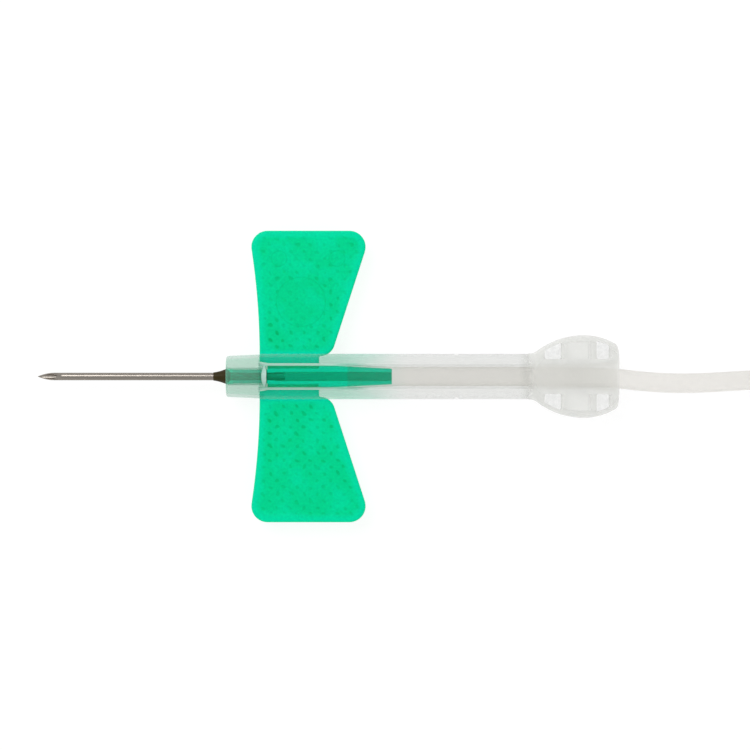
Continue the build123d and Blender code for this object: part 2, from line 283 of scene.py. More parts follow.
def add_node(material, kind, inputs, **settings):
    """Adds one shader node with its settings, values and links."""
    made = material.node_tree.nodes.new(kind)
    for name, value in settings.items():
        setattr(made, name, value)
    for name, value in inputs.items():
        if isinstance(value, bpy.types.NodeSocket):
            material.node_tree.links.new(value, made.inputs[name])
        else:
            made.inputs[name].default_value = value
    return made


def new_material(name):
    """An empty node material and its surface output."""
    material = bpy.data.materials.new(name)
    material.use_nodes = True
    material.node_tree.nodes.clear()
    return material, add_node(material, "ShaderNodeOutputMaterial", {})


def finish_with(material, output, shader):
    """Puts a shader on a material's surface."""
    material.node_tree.links.new(shader.outputs[0], output.inputs["Surface"])
    return material


def drawn_stainless_steel(colours):
    # Stainless tube, drawn and then electropolished: fine lines along it draw the highlight out
    material, output = new_material("drawn_stainless_steel")
    place = add_node(material, "ShaderNodeTexCoord", {}).outputs["Object"]
    # Draw lines are some 2 microns apart, drawn here at 0.08 mm so that they show
    stretch = add_node(material, "ShaderNodeMapping", {"Vector": place, "Scale": (0.05, 1, 1)})
    lines = add_node(
        material,
        "ShaderNodeTexNoise",
        {"Vector": stretch.outputs[0], "Scale": 1 / (0.08 * MM), "Detail": 3.0},
    )
    bump = add_node(
        material,
        "ShaderNodeBump",
        {"Height": lines.outputs[0], "Strength": 0.25, "Distance": 0.01 * MM},
    )
    rough = add_node(
        material,
        "ShaderNodeMapRange",
        {"Value": lines.outputs[0], "To Min": 0.2, "To Max": 0.34},
    )
    # Where the hub holds it, the tube is blasted with grit for the bond, so it is pale and dull
    axes = add_node(material, "ShaderNodeSeparateXYZ", {"Vector": place})
    held = add_node(
        material,
        "ShaderNodeMath",
        {0: axes.outputs["X"], 1: X_CAP * MM},
        operation="GREATER_THAN",
    ).outputs[0]
    tone = add_node(
        material,
        "ShaderNodeMix",
        {"Factor": held, "A": colours.steel, "B": colours.blasted},
        data_type="RGBA",
    )
    dull = add_node(
        material,
        "ShaderNodeMath",
        {0: held, 1: 0.35, 2: rough.outputs[0]},
        operation="MULTIPLY_ADD",
    )
    steel = add_node(
        material,
        "ShaderNodeBsdfPrincipled",
        {
            "Base Color": tone.outputs["Result"],
            "Metallic": 1.0,
            "Specular Tint": colours.steel_edge,
            "Roughness": dull.outputs[0],
            "Normal": bump.outputs[0],
        },
    )
    return finish_with(material, output, steel)


def cured_epoxy(colours):
    # Epoxy set in air: a smooth glassy skin over a dark body with slight flow marks
    material, output = new_material("cured_epoxy")
    place = add_node(material, "ShaderNodeTexCoord", {}).outputs["Object"]
    flow = add_node(
        material,
        "ShaderNodeTexNoise",
        {"Vector": place, "Scale": 1 / (0.5 * MM), "Detail": 2.0},
    )
    bump = add_node(
        material,
        "ShaderNodeBump",
        {"Height": flow.outputs[0], "Strength": 0.3, "Distance": 0.05 * MM},
    )
    dark = [c * 0.55 for c in colours.adhesive[:3]] + [1.0]
    tone = add_node(
        material,
        "ShaderNodeMix",
        {"Factor": flow.outputs[0], "A": dark, "B": colours.adhesive},
        data_type="RGBA",
    )
    epoxy = add_node(
        material,
        "ShaderNodeBsdfPrincipled",
        {
            "Base Color": tone.outputs["Result"],
            "Roughness": 0.45,
            "IOR": 1.5,
            "Specular IOR Level": 0.15,
            "Normal": bump.outputs[0],
        },
    )
    return finish_with(material, output, epoxy)


def grip_dimples(material, place, aside, cloud, sizes):
    """Height of the dimples of the grip field, which a hand-textured tool leaves uneven. The same
    value paints shade into the dimples.
    """
    # They wander from their lattice by up to 0.7 mm
    wander = add_node(
        material, "ShaderNodeTexNoise", {"Vector": place, "Scale": 1 / (1.1 * MM), "Detail": 1.0}
    )
    shift = add_node(
        material,
        "ShaderNodeVectorMath",
        {0: wander.outputs[1], 1: (0.7 * MM, 0.7 * MM, 0), 2: place},
        operation="MULTIPLY_ADD",
    )
    axes = add_node(material, "ShaderNodeSeparateXYZ", {"Vector": shift.outputs[0]})
    turns = 2 * math.pi / sizes.dimple_pitch
    # Two sets of diagonal waves of unequal height, whose crests meet in short slanted dashes
    waves = []
    for operation, height in (("ADD", 0.62), ("SUBTRACT", 0.38)):
        diagonal = add_node(
            material,
            "ShaderNodeMath",
            {0: axes.outputs["X"], 1: axes.outputs["Y"]},
            operation=operation,
        )
        angle = add_node(
            material, "ShaderNodeMath", {0: diagonal.outputs[0], 1: turns}, operation="MULTIPLY"
        )
        wave = add_node(material, "ShaderNodeMath", {0: angle.outputs[0]}, operation="COSINE")
        scaled = add_node(
            material, "ShaderNodeMath", {0: wave.outputs[0], 1: height}, operation="MULTIPLY"
        )
        waves.append(scaled.outputs[0])
    lattice = add_node(material, "ShaderNodeMath", {0: waves[0], 1: waves[1]}, operation="ADD")
    spots = add_node(
        material,
        "ShaderNodeMapRange",
        {"Value": lattice.outputs[0], "From Min": 0.45, "From Max": 0.9},
        interpolation_type="SMOOTHSTEP",
    )
    worn = add_node(
        material, "ShaderNodeMath", {0: spots.outputs[0], 1: cloud}, operation="MULTIPLY"
    )
    # They are cut deepest near the wing's root
    cut = add_node(
        material,
        "ShaderNodeMapRange",
        {"Value": aside, "From Min": 5 * MM, "From Max": 13 * MM, "To Min": 1.0, "To Max": 0.55},
    )
    return add_node(
        material, "ShaderNodeMath", {0: worn.outputs[0], 1: cut.outputs[0]}, operation="MULTIPLY"
    ).outputs[0]


def ejector_marks(material, place, field):
    """The grip field with the plain discs of the ejector pins taken out, and their fine rims, into
    which shade is painted as well.
    """
    plain, rims = field, 0.0
    for x, y, radius in EJECTOR_MARKS:
        away = add_node(
            material,
            "ShaderNodeVectorMath",
            {0: place, 1: (x * MM, y * MM, 0)},
            operation="DISTANCE",
        )
        outside = add_node(
            material,
            "ShaderNodeMapRange",
            {
                "Value": away.outputs["Value"],
                "From Min": radius * MM,
                "From Max": (radius + 0.15) * MM,
                "To Min": 0.35,
            },
        )
        plain = add_node(
            material, "ShaderNodeMath", {0: plain, 1: outside.outputs[0]}, operation="MULTIPLY"
        ).outputs[0]
        line = add_node(
            material,
            "ShaderNodeMath",
            {0: away.outputs["Value"], 1: radius * MM, 2: 0.07 * MM},
            operation="COMPARE",
        )
        rims = add_node(
            material, "ShaderNodeMath", {0: line.outputs[0], 1: rims}, operation="ADD"
        ).outputs[0]
    return plain, rims


def moulded_soft_pvc(colours, sizes):
    # Plasticised PVC, moulded soft and satin: light goes in and comes out greener, paler at edges
    material, output = new_material("moulded_soft_pvc")
    # Where each point lies with the wing laid flat, on which the texture is laid out
    flat = add_node(material, "ShaderNodeAttribute", {}, attribute_name="flat_place")
    place = flat.outputs["Vector"]
    spread = add_node(material, "ShaderNodeSeparateXYZ", {"Vector": place})
    aside = add_node(
        material, "ShaderNodeMath", {0: spread.outputs["Y"]}, operation="ABSOLUTE"
    ).outputs[0]
    # Cloudy patches a few millimetres across, where the wall is a little thicker or thinner
    patches = add_node(
        material, "ShaderNodeTexNoise", {"Vector": place, "Scale": 1 / (2.6 * MM), "Detail": 3.5}
    )
    cloud = add_node(
        material,
        "ShaderNodeMapRange",
        {"Value": patches.outputs[0], "From Min": 0.35, "From Max": 0.65, "To Min": 0.25},
    ).outputs[0]
    # Moulded grain of a spark-eroded tool, a few hundredths of a millimetre, drawn at up to 0.3 mm
    grain = add_node(
        material, "ShaderNodeTexNoise", {"Vector": place, "Scale": 1 / (0.3 * MM), "Detail": 3.0}
    )
    field = add_node(material, "ShaderNodeAttribute", {}, attribute_name="grip").outputs["Fac"]
    plain, rims = ejector_marks(material, place, field)
    dimples = add_node(
        material,
        "ShaderNodeMath",
        {0: grip_dimples(material, place, aside, cloud, sizes), 1: plain},
        operation="MULTIPLY",
    )
    # Dimples and rims sink the surface, and they also set where shade is painted into the green
    marks = add_node(
        material,
        "ShaderNodeMath",
        {0: rims, 1: 0.22, 2: dimples.outputs[0]},
        operation="MULTIPLY_ADD",
    )
    height = add_node(
        material,
        "ShaderNodeMath",
        {0: marks.outputs[0], 1: -1.6, 2: grain.outputs[0]},
        operation="MULTIPLY_ADD",
    )
    bump = add_node(
        material,
        "ShaderNodeBump",
        {"Height": height.outputs[0], "Strength": 0.5, "Distance": 0.05 * MM},
    )
    depth = add_node(
        material,
        "ShaderNodeMapRange",
        {"Value": cloud, "From Min": 0.25, "To Min": 0.35, "To Max": 1.3},
    )
    cover = add_node(
        material,
        "ShaderNodeMath",
        {0: field, 1: depth.outputs[0]},
        operation="MULTIPLY",
        use_clamp=True,
    )
    sunk = add_node(
        material,
        "ShaderNodeMix",
        {"Factor": cover.outputs[0], "A": colours.wing, "B": colours.field},
        data_type="RGBA",
    )
    # Painted shade: the dimples and the rims of the ejector marks darken the green towards this
    # colour, standing in for the shade in their hollows
    painted_mark_shade = [c * d for c, d in zip(colours.field[:3], (0.72, 0.72, 0.55))] + [1.0]
    tone = add_node(
        material,
        "ShaderNodeMix",
        {"Factor": marks.outputs[0], "A": sunk.outputs["Result"], "B": painted_mark_shade},
        data_type="RGBA",
    )
    # The webs between the wings and the hub are bluer, because light reaches them from both sides
    root = add_node(
        material,
        "ShaderNodeMapRange",
        {"Value": aside, "From Min": 2.7 * MM, "From Max": 2.45 * MM},
    )
    tone = add_node(
        material,
        "ShaderNodeMix",
        {"Factor": root.outputs[0], "A": tone.outputs["Result"], "B": colours.web},
        data_type="RGBA",
    )
    # Pigment isn't mixed in evenly, so the green is faintly mottled
    mottle = add_node(
        material,
        "ShaderNodeMapRange",
        {
            "Value": grain.outputs[0],
            "From Min": 0.3,
            "From Max": 0.7,
            "To Min": 0.94,
            "To Max": 1.05,
        },
    )
    tone = add_node(
        material,
        "ShaderNodeVectorMath",
        {0: tone.outputs["Result"], 1: mottle.outputs[0]},
        operation="MULTIPLY",
    )
    body = add_node(
        material,
        "ShaderNodeBsdfPrincipled",
        {
            "Base Color": tone.outputs[0],
            "Roughness": 0.5,
            "IOR": 1.53,
            "Specular IOR Level": 0.06,
            "Normal": bump.outputs[0],
        },
    )
    glow = add_node(material, "ShaderNodeBsdfTranslucent", {"Color": tone.outputs[0]})
    mixed = add_node(
        material, "ShaderNodeMixShader", {0: 0.45, 1: body.outputs[0], 2: glow.outputs[0]}
    )
    return finish_with(material, output, mixed)


def paint_hub_glow(material, axes, look, glow, painted_glow_film, extra):
    """Paints a green glow into the plastic beside the hub, standing in for the hub's light that
    runs on inside it. The glow fades with the distance along X.
    """
    fade = add_node(
        material,
        "ShaderNodeMapRange",
        {"Value": axes.outputs["X"], "From Min": 9.0 * MM, "From Max": 0.5 * MM},
        interpolation_type="SMOOTHSTEP",
    ).outputs[0]
    for name, near in (("colour", glow), ("film", painted_glow_film)):
        look[name] = add_node(
            material,
            "ShaderNodeMix",
            {"Factor": fade, "A": look[name], "B": near},
            data_type="RGBA",
        ).outputs["Result"]
    look["share"] = add_node(
        material, "ShaderNodeMath", {0: fade, 1: extra, 2: look["share"]}, operation="MULTIPLY_ADD"
    ).outputs[0]


def cloud_thick_wall(material, axes, look, start, full, extra, milky):
    """A thick moulding cools slowly, so its crystals grow large and leave it milkier."""
    slow = add_node(
        material,
        "ShaderNodeMapRange",
        {"Value": axes.outputs["X"], "From Min": start * MM, "From Max": full * MM},
        interpolation_type="SMOOTHSTEP",
    ).outputs[0]
    look["colour"] = add_node(
        material,
        "ShaderNodeMix",
        {"Factor": slow, "A": look["colour"], "B": milky},
        data_type="RGBA",
    ).outputs["Result"]
    look["share"] = add_node(
        material, "ShaderNodeMath", {0: slow, 1: extra, 2: look["share"]}, operation="MULTIPLY_ADD"
    ).outputs[0]


def film_of_bore(material, place, look, reach, passed):
    """Gives the wall of a bore its film. Returns the distance from the axis, and what is inside."""
    radial = add_node(
        material,
        "ShaderNodeVectorMath",
        {0: place, 1: (0, 1, 1), 2: (0, 0, -AXIS_Z * MM)},
        operation="MULTIPLY_ADD",
    )
    radius = add_node(
        material, "ShaderNodeVectorMath", {0: radial.outputs[0]}, operation="LENGTH"
    ).outputs["Value"]
    inside = add_node(
        material, "ShaderNodeMath", {0: radius, 1: reach * MM}, operation="LESS_THAN"
    ).outputs[0]
    look["film"] = add_node(
        material,
        "ShaderNodeMix",
        {"Factor": inside, "A": look["film"], "B": passed},
        data_type="RGBA",
    ).outputs["Result"]
    return radius, inside


def paint_bore_highlights(material, axes, look, radius, inside, milk, pale):
    """Paints highlights along a bore's two sides beside the hub: there the colour turns pale and
    the skin milkier, standing in for light caught at the bore's wall.
    """
    aside = add_node(material, "ShaderNodeMath", {0: axes.outputs["Y"]}, operation="ABSOLUTE")
    lean = add_node(
        material, "ShaderNodeMath", {0: aside.outputs[0], 1: radius}, operation="DIVIDE"
    )
    sides = add_node(
        material,
        "ShaderNodeMapRange",
        {"Value": lean.outputs[0], "From Min": 0.8, "From Max": 0.88, "To Max": milk},
        interpolation_type="SMOOTHSTEP",
    )
    beside = add_node(
        material,
        "ShaderNodeMapRange",
        {"Value": axes.outputs["X"], "From Min": 4.5 * MM, "From Max": 0.5 * MM},
    )
    sides = add_node(
        material,
        "ShaderNodeMath",
        {0: sides.outputs[0], 1: beside.outputs[0]},
        operation="MULTIPLY",
    ).outputs[0]
    look["colour"] = add_node(
        material,
        "ShaderNodeMix",
        {"Factor": sides, "A": look["colour"], "B": pale},
        data_type="RGBA",
    ).outputs["Result"]
    lined = add_node(
        material, "ShaderNodeMath", {0: sides, 1: inside}, operation="MULTIPLY"
    ).outputs[0]
    look["share"] = add_node(
        material, "ShaderNodeMath", {0: lined, 1: look["share"]}, operation="ADD", use_clamp=True
    ).outputs[0]
    look["passing"] = add_node(
        material, "ShaderNodeMapRange", {"Value": lined, "To Min": 0.5, "To Max": 0.05}
    ).outputs[0]


def paint_end_highlight(material, axes, look, middle, half, reach, pale):
    """Paints a pale lens-shaped highlight across the end of a spigot, where it catches light."""
    off = add_node(
        material, "ShaderNodeMath", {0: axes.outputs["X"], 1: -middle * MM}, operation="ADD"
    )
    along = add_node(
        material, "ShaderNodeMath", {0: off.outputs[0], 1: 1 / (half * MM)}, operation="MULTIPLY"
    )
    length = add_node(material, "ShaderNodeMath", {0: along.outputs[0]}, operation="ABSOLUTE")
    out = add_node(
        material,
        "ShaderNodeMath",
        {0: axes.outputs["Y"], 1: 1 / (reach * MM)},
        operation="MULTIPLY",
    )
    bow = add_node(
        material,
        "ShaderNodeMath",
        {0: out.outputs[0], 1: out.outputs[0], 2: length.outputs[0]},
        operation="MULTIPLY_ADD",
    )
    lens = add_node(
        material,
        "ShaderNodeMapRange",
        {"Value": bow.outputs[0], "From Min": 1.1, "From Max": 0.8},
        interpolation_type="SMOOTHSTEP",
    ).outputs[0]
    for name in ("colour", "film"):
        look[name] = add_node(
            material,
            "ShaderNodeMix",
            {"Factor": lens, "A": look[name], "B": pale},
            data_type="RGBA",
        ).outputs["Result"]
    look["share"] = add_node(
        material,
        "ShaderNodeMath",
        {0: lens, 1: 0.95, 2: look["share"]},
        operation="MULTIPLY_ADD",
        use_clamp=True,
    ).outputs[0]
    look["passing"] = add_node(
        material, "ShaderNodeMapRange", {"Value": lens, "To Min": 0.5, "To Max": 0.1}
    ).outputs[0]


def clouded(
    name,
    *,
    colour,
    film,
    veil,
    rim,
    roughness,
    gloss,
    haze_mm,
    depth=None,
    painted_hub_glow=None,
    thick=None,
    bore=None,
    sides=None,
    end=None,
    enclosed=False,
):
    """A milky plastic: its surfaces pass light through a film and scatter some in a veil."""
    material, output = new_material(name)
    place = add_node(material, "ShaderNodeTexCoord", {}).outputs["Object"]
    haze = add_node(
        material,
        "ShaderNodeTexNoise",
        {"Vector": place, "Scale": 1 / (haze_mm * MM), "Detail": 4.0},
    )
    facing = add_node(material, "ShaderNodeLayerWeight", {"Blend": 0.5})
    dense = add_node(
        material,
        "ShaderNodeMapRange",
        {"Value": facing.outputs["Facing"], "To Min": veil, "To Max": rim},
        interpolation_type="SMOOTHSTEP",
    )
    patches = add_node(
        material,
        "ShaderNodeMapRange",
        {
            "Value": haze.outputs[0],
            "From Min": 0.3,
            "From Max": 0.7,
            "To Min": 0.75,
            "To Max": 1.25,
        },
    )
    cloudy = add_node(
        material,
        "ShaderNodeMath",
        {0: patches.outputs[0], 1: dense.outputs[0]},
        operation="MULTIPLY",
        use_clamp=True,
    )
    # Share is how much of the light the skin scatters, and passing is how much of that goes through
    look = {"colour": colour, "film": film, "share": cloudy.outputs[0], "passing": 0.5}
    if painted_hub_glow or thick or sides or end:
        axes = add_node(material, "ShaderNodeSeparateXYZ", {"Vector": place})
    # The options below paint light into the plastic: a glow beside the hub, highlights along a
    # bore's sides and across a spigot's end
    if painted_hub_glow:
        paint_hub_glow(material, axes, look, *painted_hub_glow)
    if thick:
        cloud_thick_wall(material, axes, look, *thick)
    if bore:
        radius, inside = film_of_bore(material, place, look, *bore)
    if sides:
        paint_bore_highlights(material, axes, look, radius, inside, *sides)
    if end:
        paint_end_highlight(material, axes, look, *end)
    bump = add_node(
        material,
        "ShaderNodeBump",
        {"Height": haze.outputs[0], "Strength": 0.2, "Distance": 0.03 * MM},
    )
    body = add_node(
        material,
        "ShaderNodeBsdfPrincipled",
        {
            "Base Color": look["colour"],
            "Roughness": roughness,
            "Specular IOR Level": gloss,
            "Normal": bump.outputs[0],
        },
    )
    # Light from inside the moulding comes out of its skin with the colour of what lies there
    within = add_node(
        material,
        "ShaderNodeBsdfTranslucent",
        {"Color": look["colour"], "Normal": bump.outputs[0]},
    )
    skin = add_node(
        material,
        "ShaderNodeMixShader",
        {0: look["passing"], 1: body.outputs[0], 2: within.outputs[0]},
    )
    if enclosed:
        # A ray may cross eight see-through surfaces at most, so a piece inside other clear walls
        # refracts it instead, with an IOR of 1 that leaves it straight
        clear = add_node(
            material,
            "ShaderNodeBsdfRefraction",
            {"Color": look["film"], "Roughness": 0.0, "IOR": 1.0},
        )
    else:
        clear = add_node(material, "ShaderNodeBsdfTransparent", {"Color": look["film"]})
    mixed = add_node(
        material,
        "ShaderNodeMixShader",
        {0: look["share"], 1: clear.outputs[0], 2: skin.outputs[0]},
    )
    if depth is not None:
        # A thick place lets less light through than a thin one
        fog = add_node(
            material, "ShaderNodeVolumeAbsorption", {"Color": depth, "Density": FOG_PER_METRE}
        )
        material.node_tree.links.new(fog.outputs[0], output.inputs["Volume"])
    return finish_with(material, output, mixed)


def moulded_polypropylene(colours, name, glow, extra, **places):
    # Natural polypropylene, injection moulded: its crystals scatter light, so it is milky and satin
    return clouded(
        name,
        colour=colours.shield,
        film=colours.shield_film,
        veil=0.012,
        rim=0.24,
        roughness=0.3,
        gloss=0.5,
        haze_mm=0.35,
        depth=colours.shield_depth,
        # Painted glow beside the hub
        painted_hub_glow=(glow, colours.painted_glow_film, extra),
        bore=(1.5, colours.shield_film),
        # Painted highlights along the bore's sides
        sides=(0.9, colours.bore_highlight),
        **places,
    )


def web_of_polypropylene(colours):
    # The same polypropylene where the mould nearly closes: a thin web, milky right through
    return clouded(
        "moulded_polypropylene_web",
        colour=colours.shield,
        film=colours.shield_film,
        veil=0.13,
        rim=0.3,
        roughness=0.3,
        gloss=0.3,
        haze_mm=0.5,
    )


def soft_pvc_core(colours):
    # The wings' soft PVC where it is thick and round: it passes light, and its depth turns it green
    return clouded(
        "moulded_soft_pvc_core",
        colour=colours.core,
        film=colours.core_film,
        veil=0.1,
        rim=0.35,
        roughness=0.4,
        gloss=0.1,
        haze_mm=0.3,
        depth=colours.core_depth,
        bore=(0.84, colours.core_bore),
        enclosed=True,
    )


def extruded_clear_pvc(colours):
    # Plasticised PVC, extruded: nearly clear with a faint bloom, and glossy
    return clouded(
        "extruded_clear_pvc",
        colour=colours.tubing,
        film=colours.tubing_film,
        veil=0.04,
        rim=0.16,
        roughness=0.25,
        gloss=0.5,
        haze_mm=0.6,
        enclosed=True,
    )


def moulded_clear_abs(colours):
    # Clear ABS, injection moulded and polished: hard bright highlights on a glassy body
    return clouded(
        "moulded_clear_abs",
        colour=colours.connector,
        film=colours.tubing_film,
        veil=0.1,
        rim=0.5,
        roughness=0.12,
        gloss=0.5,
        haze_mm=2.0,
    )


def moulded_polyethylene(colours):
    # White polyethylene, injection moulded: waxy, with a soft broad highlight
    material, output = new_material("moulded_polyethylene")
    place = add_node(material, "ShaderNodeTexCoord", {}).outputs["Object"]
    wax = add_node(
        material,
        "ShaderNodeTexNoise",
        {"Vector": place, "Scale": 1 / (0.4 * MM), "Detail": 3.0},
    )
    bump = add_node(
        material,
        "ShaderNodeBump",
        {"Height": wax.outputs[0], "Strength": 0.15, "Distance": 0.03 * MM},
    )
    shade = [c * 0.94 for c in colours.plug[:3]] + [1.0]
    tone = add_node(
        material,
        "ShaderNodeMix",
        {"Factor": wax.outputs[0], "A": shade, "B": colours.plug},
        data_type="RGBA",
    )
    body = add_node(
        material,
        "ShaderNodeBsdfPrincipled",
        {
            "Base Color": tone.outputs["Result"],
            "Roughness": 0.4,
            "IOR": 1.5,
            "Normal": bump.outputs[0],
        },
    )
    return finish_with(material, output, body)


def new_piece(name, points, faces, material, smooth=True):
    """A mesh piece from points in millimetres, with its material."""
    mesh = bpy.data.meshes.new(name)
    mesh.from_pydata([[c * MM for c in p] for p in points], [], faces)
    mesh.validate()
    mesh.polygons.foreach_set("use_smooth", [smooth] * len(mesh.polygons))
    mesh.materials.append(material)
    piece = bpy.data.objects.new(name, mesh)
    bpy.context.scene.collection.objects.link(piece)
    return piece


def turned_piece(name, profile, material):
    """A piece turned about the needle's axis from a closed profile of (x, radius) points."""
    sides = 96
    points, faces = [], []
    for x, radius in profile:
        for side in range(sides):
            angle = 2 * math.pi * side / sides
            points.append((x, radius * math.cos(angle), AXIS_Z + radius * math.sin(angle)))
    rings = len(profile)
    for ring in range(rings):
        after = (ring + 1) % rings
        for side in range(sides):
            beside = (side + 1) % sides
            faces.append(
                (
                    ring * sides + side,
                    ring * sides + beside,
                    after * sides + beside,
                    after * sides + side,
                )
            )
    return new_piece(name, points, faces, material)


def arc_reach(offset, radius):
    """How far an arc of a radius reaches, at an offset from its centre."""
    return math.sqrt(max(radius**2 - offset**2, 0.0))


def wing_edges(y):
    """Where a wing starts and ends along X, at a distance from the shield's axis."""
    # Inside the shield's bore the web starts further back than in its slot
    lead = X_CORE if y < BORE_R + 0.1 else X_WEB
    share = min(max((y - HINGE_Y) / (WING_REACH - HINGE_Y), 0.0), 1.0)
    lead += -LEAD_SWEEP * share + 4 * LEAD_BOW * share * (1 - share)
    slope = math.tan(math.radians(TRAILING_FLARE))
    trail = X_WEB + ROOT_CHORD + (y - BARREL_R) * slope
    if y < LEDGE_Y:
        trail = X_WEB + LEDGE_LENGTH
    else:
        tangent = ROOT_RADIUS / math.tan(math.radians(45 + TRAILING_FLARE / 2))
        arc_x = X_WEB + ROOT_CHORD - (BARREL_R - LEDGE_Y) * slope - tangent
        drop = ROOT_RADIUS - (y - LEDGE_Y)
        if drop > ROOT_RADIUS * math.sin(math.radians(TRAILING_FLARE)):
            trail = arc_x + math.sqrt(max(ROOT_RADIUS**2 - drop**2, 0.0))
    # Both tip corners are arcs that touch the tip and the sloping edge beside it
    middle = WING_REACH - TIP_RADIUS
    # Near the tip the bow adds 3.2 times its height to the slope
    lead_slope = math.atan((LEAD_SWEEP + 3.2 * LEAD_BOW) / (WING_REACH - HINGE_Y))
    if y > middle - TIP_RADIUS * math.sin(lead_slope):
        share = (middle - HINGE_Y) / (WING_REACH - HINGE_Y)
        base = X_WEB - LEAD_SWEEP * share + 4 * LEAD_BOW * share * (1 - share)
        lead = base + TIP_RADIUS / math.cos(lead_slope) - arc_reach(y - middle, TIP_RADIUS)
    if y > middle - TIP_RADIUS * math.sin(math.radians(TRAILING_FLARE)):
        base = X_WEB + ROOT_CHORD + (middle - BARREL_R) * slope
        corner = TIP_RADIUS / math.cos(math.radians(TRAILING_FLARE))
        trail = base - corner + arc_reach(y - middle, TIP_RADIUS)
    return lead, trail


def wing_rows():
    """Distances of a wing's rows of points from the axis, closest at its bend and its corners."""
    inner = list(np.linspace(0.85, 2.2, 10)) + [2.21, 2.24, 2.3, 2.38, 2.48]
    bend = list(np.linspace(2.55, 3.3, 22))
    plate = list(np.linspace(3.42, WING_REACH - TIP_RADIUS, 58))
    middle = WING_REACH - TIP_RADIUS
    corner = [middle + TIP_RADIUS * math.sin(math.radians(a)) for a in range(5, 91, 5)]
    return inner + bend + [y for y in plate if y < middle] + corner


def wing_piece(name, side, material, sizes):
    """One wing with its web: rounded edges, a sunk grip field and the groove of a living hinge."""
    rows = wing_rows()
    close = [0.0, 0.002, 0.006, 0.012, 0.02, 0.032, 0.05, 0.075, 0.1]
    shares = close + list(np.linspace(0.13, 0.87, 56)) + [1 - s for s in reversed(close)]
    plan = []
    for y in rows:
        lead, trail = wing_edges(y)
        plan.append([(lead + (trail - lead) * s, y) for s in shares])
    plan = np.array(plan)
    rim = np.concatenate([plan[:, 0], plan[-1, 1:-1], plan[::-1, -1]])
    starts, ends = rim[:-1], rim[1:]
    runs = ends - starts
    flat = plan.reshape(-1, 2)
    offsets = flat[:, None] - starts[None]
    along = np.clip((offsets * runs).sum(2) / np.maximum((runs**2).sum(1), 1e-12), 0, 1)
    inset = np.linalg.norm(offsets - along[..., None] * runs, axis=2).min(1)
    edge = sizes.edge_round / MM
    near = np.clip(edge - inset, 0, edge)
    half = WEB_HALF - edge + np.sqrt(edge**2 - near**2)
    start = sizes.border / MM
    grip = np.clip((inset - start) / GRIP_SLOPE, 0, 1)
    grip = grip * grip * (3 - 2 * grip) * np.clip((flat[:, 1] - GRIP_FROM) / FADE, 0, 1)
    # The deeper green starts gently inside the border, and runs on to the hinge
    tone = np.clip((inset - 0.5 * start) / (0.9 * start), 0, 1)
    tone = tone * np.clip((flat[:, 1] - GREEN_FROM) / FADE, 0, 1)
    half = half - grip * sizes.grip_depth / MM
    groove = np.exp(-(((flat[:, 1] - HINGE_Y) / GROOVE_WIDTH) ** 2)) * GROOVE_DEPTH
    across, count = len(shares), len(flat)
    top = [(x, side * y, AXIS_Z + h) for (x, y), h in zip(flat, half)]
    under = [(x, side * y, AXIS_Z - h + g) for (x, y), h, g in zip(flat, half, groove)]
    faces = []
    for row in range(len(rows) - 1):
        for place in range(across - 1):
            a = row * across + place
            quad = (a, a + 1, a + across + 1, a + across)
            faces.append(quad if side > 0 else quad[::-1])
            quad = tuple(count + i for i in quad)
            faces.append(quad[::-1] if side > 0 else quad)
    ring = [row * across for row in range(len(rows))]
    ring += [(len(rows) - 1) * across + place for place in range(1, across)]
    ring += [row * across + across - 1 for row in range(len(rows) - 2, -1, -1)]
    ring += list(range(across - 2, 0, -1))
    for here, after in zip(ring, ring[1:] + ring[:1]):
        quad = (here, after, count + after, count + here)
        faces.append(quad[::-1] if side > 0 else quad)
    piece = new_piece(name, top + under, faces, material)
    field = piece.data.attributes.new("grip", "FLOAT", "POINT")
    field.data.foreach_set("value", np.concatenate([tone, tone]).astype(np.float32))
    flat_place = piece.data.attributes.new("flat_place", "FLOAT_VECTOR", "POINT")
    level = [(x * MM, side * y * MM, 0.0) for x, y in flat] * 2
    flat_place.data.foreach_set("vector", np.array(level, dtype=np.float32).ravel())
    return piece


class NEEDLE_OT_wings(bpy.types.Operator):
    """Make both wings with their webs"""

    bl_idname = "needle.wings"
    bl_label = "Wings"

    def execute(self, context):
        scene = context.scene
        green = moulded_soft_pvc(scene.needle_colours, scene.needle_sizes)
        for node, body, side in (("wing_left", "left_wing", -1), ("wing_right", "right_wing", 1)):
            wing = wing_piece(node + "_moulding", side, green, scene.needle_sizes)
            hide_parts(node)
            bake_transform(wing)
        clear_green = soft_pvc_core(scene.needle_colours)
        core = turned_piece("hub_core", CORE_PROFILE, clear_green)
        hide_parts("hub")
        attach(core, "root")
        return {"FINISHED"}


class NEEDLE_OT_adhesive(bpy.types.Operator):
    """Make the cone of adhesive at the needle's root, with the run-out that it sets with"""

    bl_idname = "needle.adhesive"
    bl_label = "Adhesive"

    def execute(self, context):
        profile = []
        for step in range(17):
            share = step / 16
            radius = CONE_R + CONE_WIDENING * share - CONE_SAG * math.sin(math.pi * share)
            profile.append((X_CONE + CONE_LENGTH * share, radius))
        profile += [(X_CAP + 0.44, 0.42), (X_CONE, 0.41)]
        cone = turned_piece(
            "adhesive_cone", profile, cured_epoxy(context.scene.needle_colours)
        )
        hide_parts("needle_adhesive")
        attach(cone, "root")
        return {"FINISHED"}


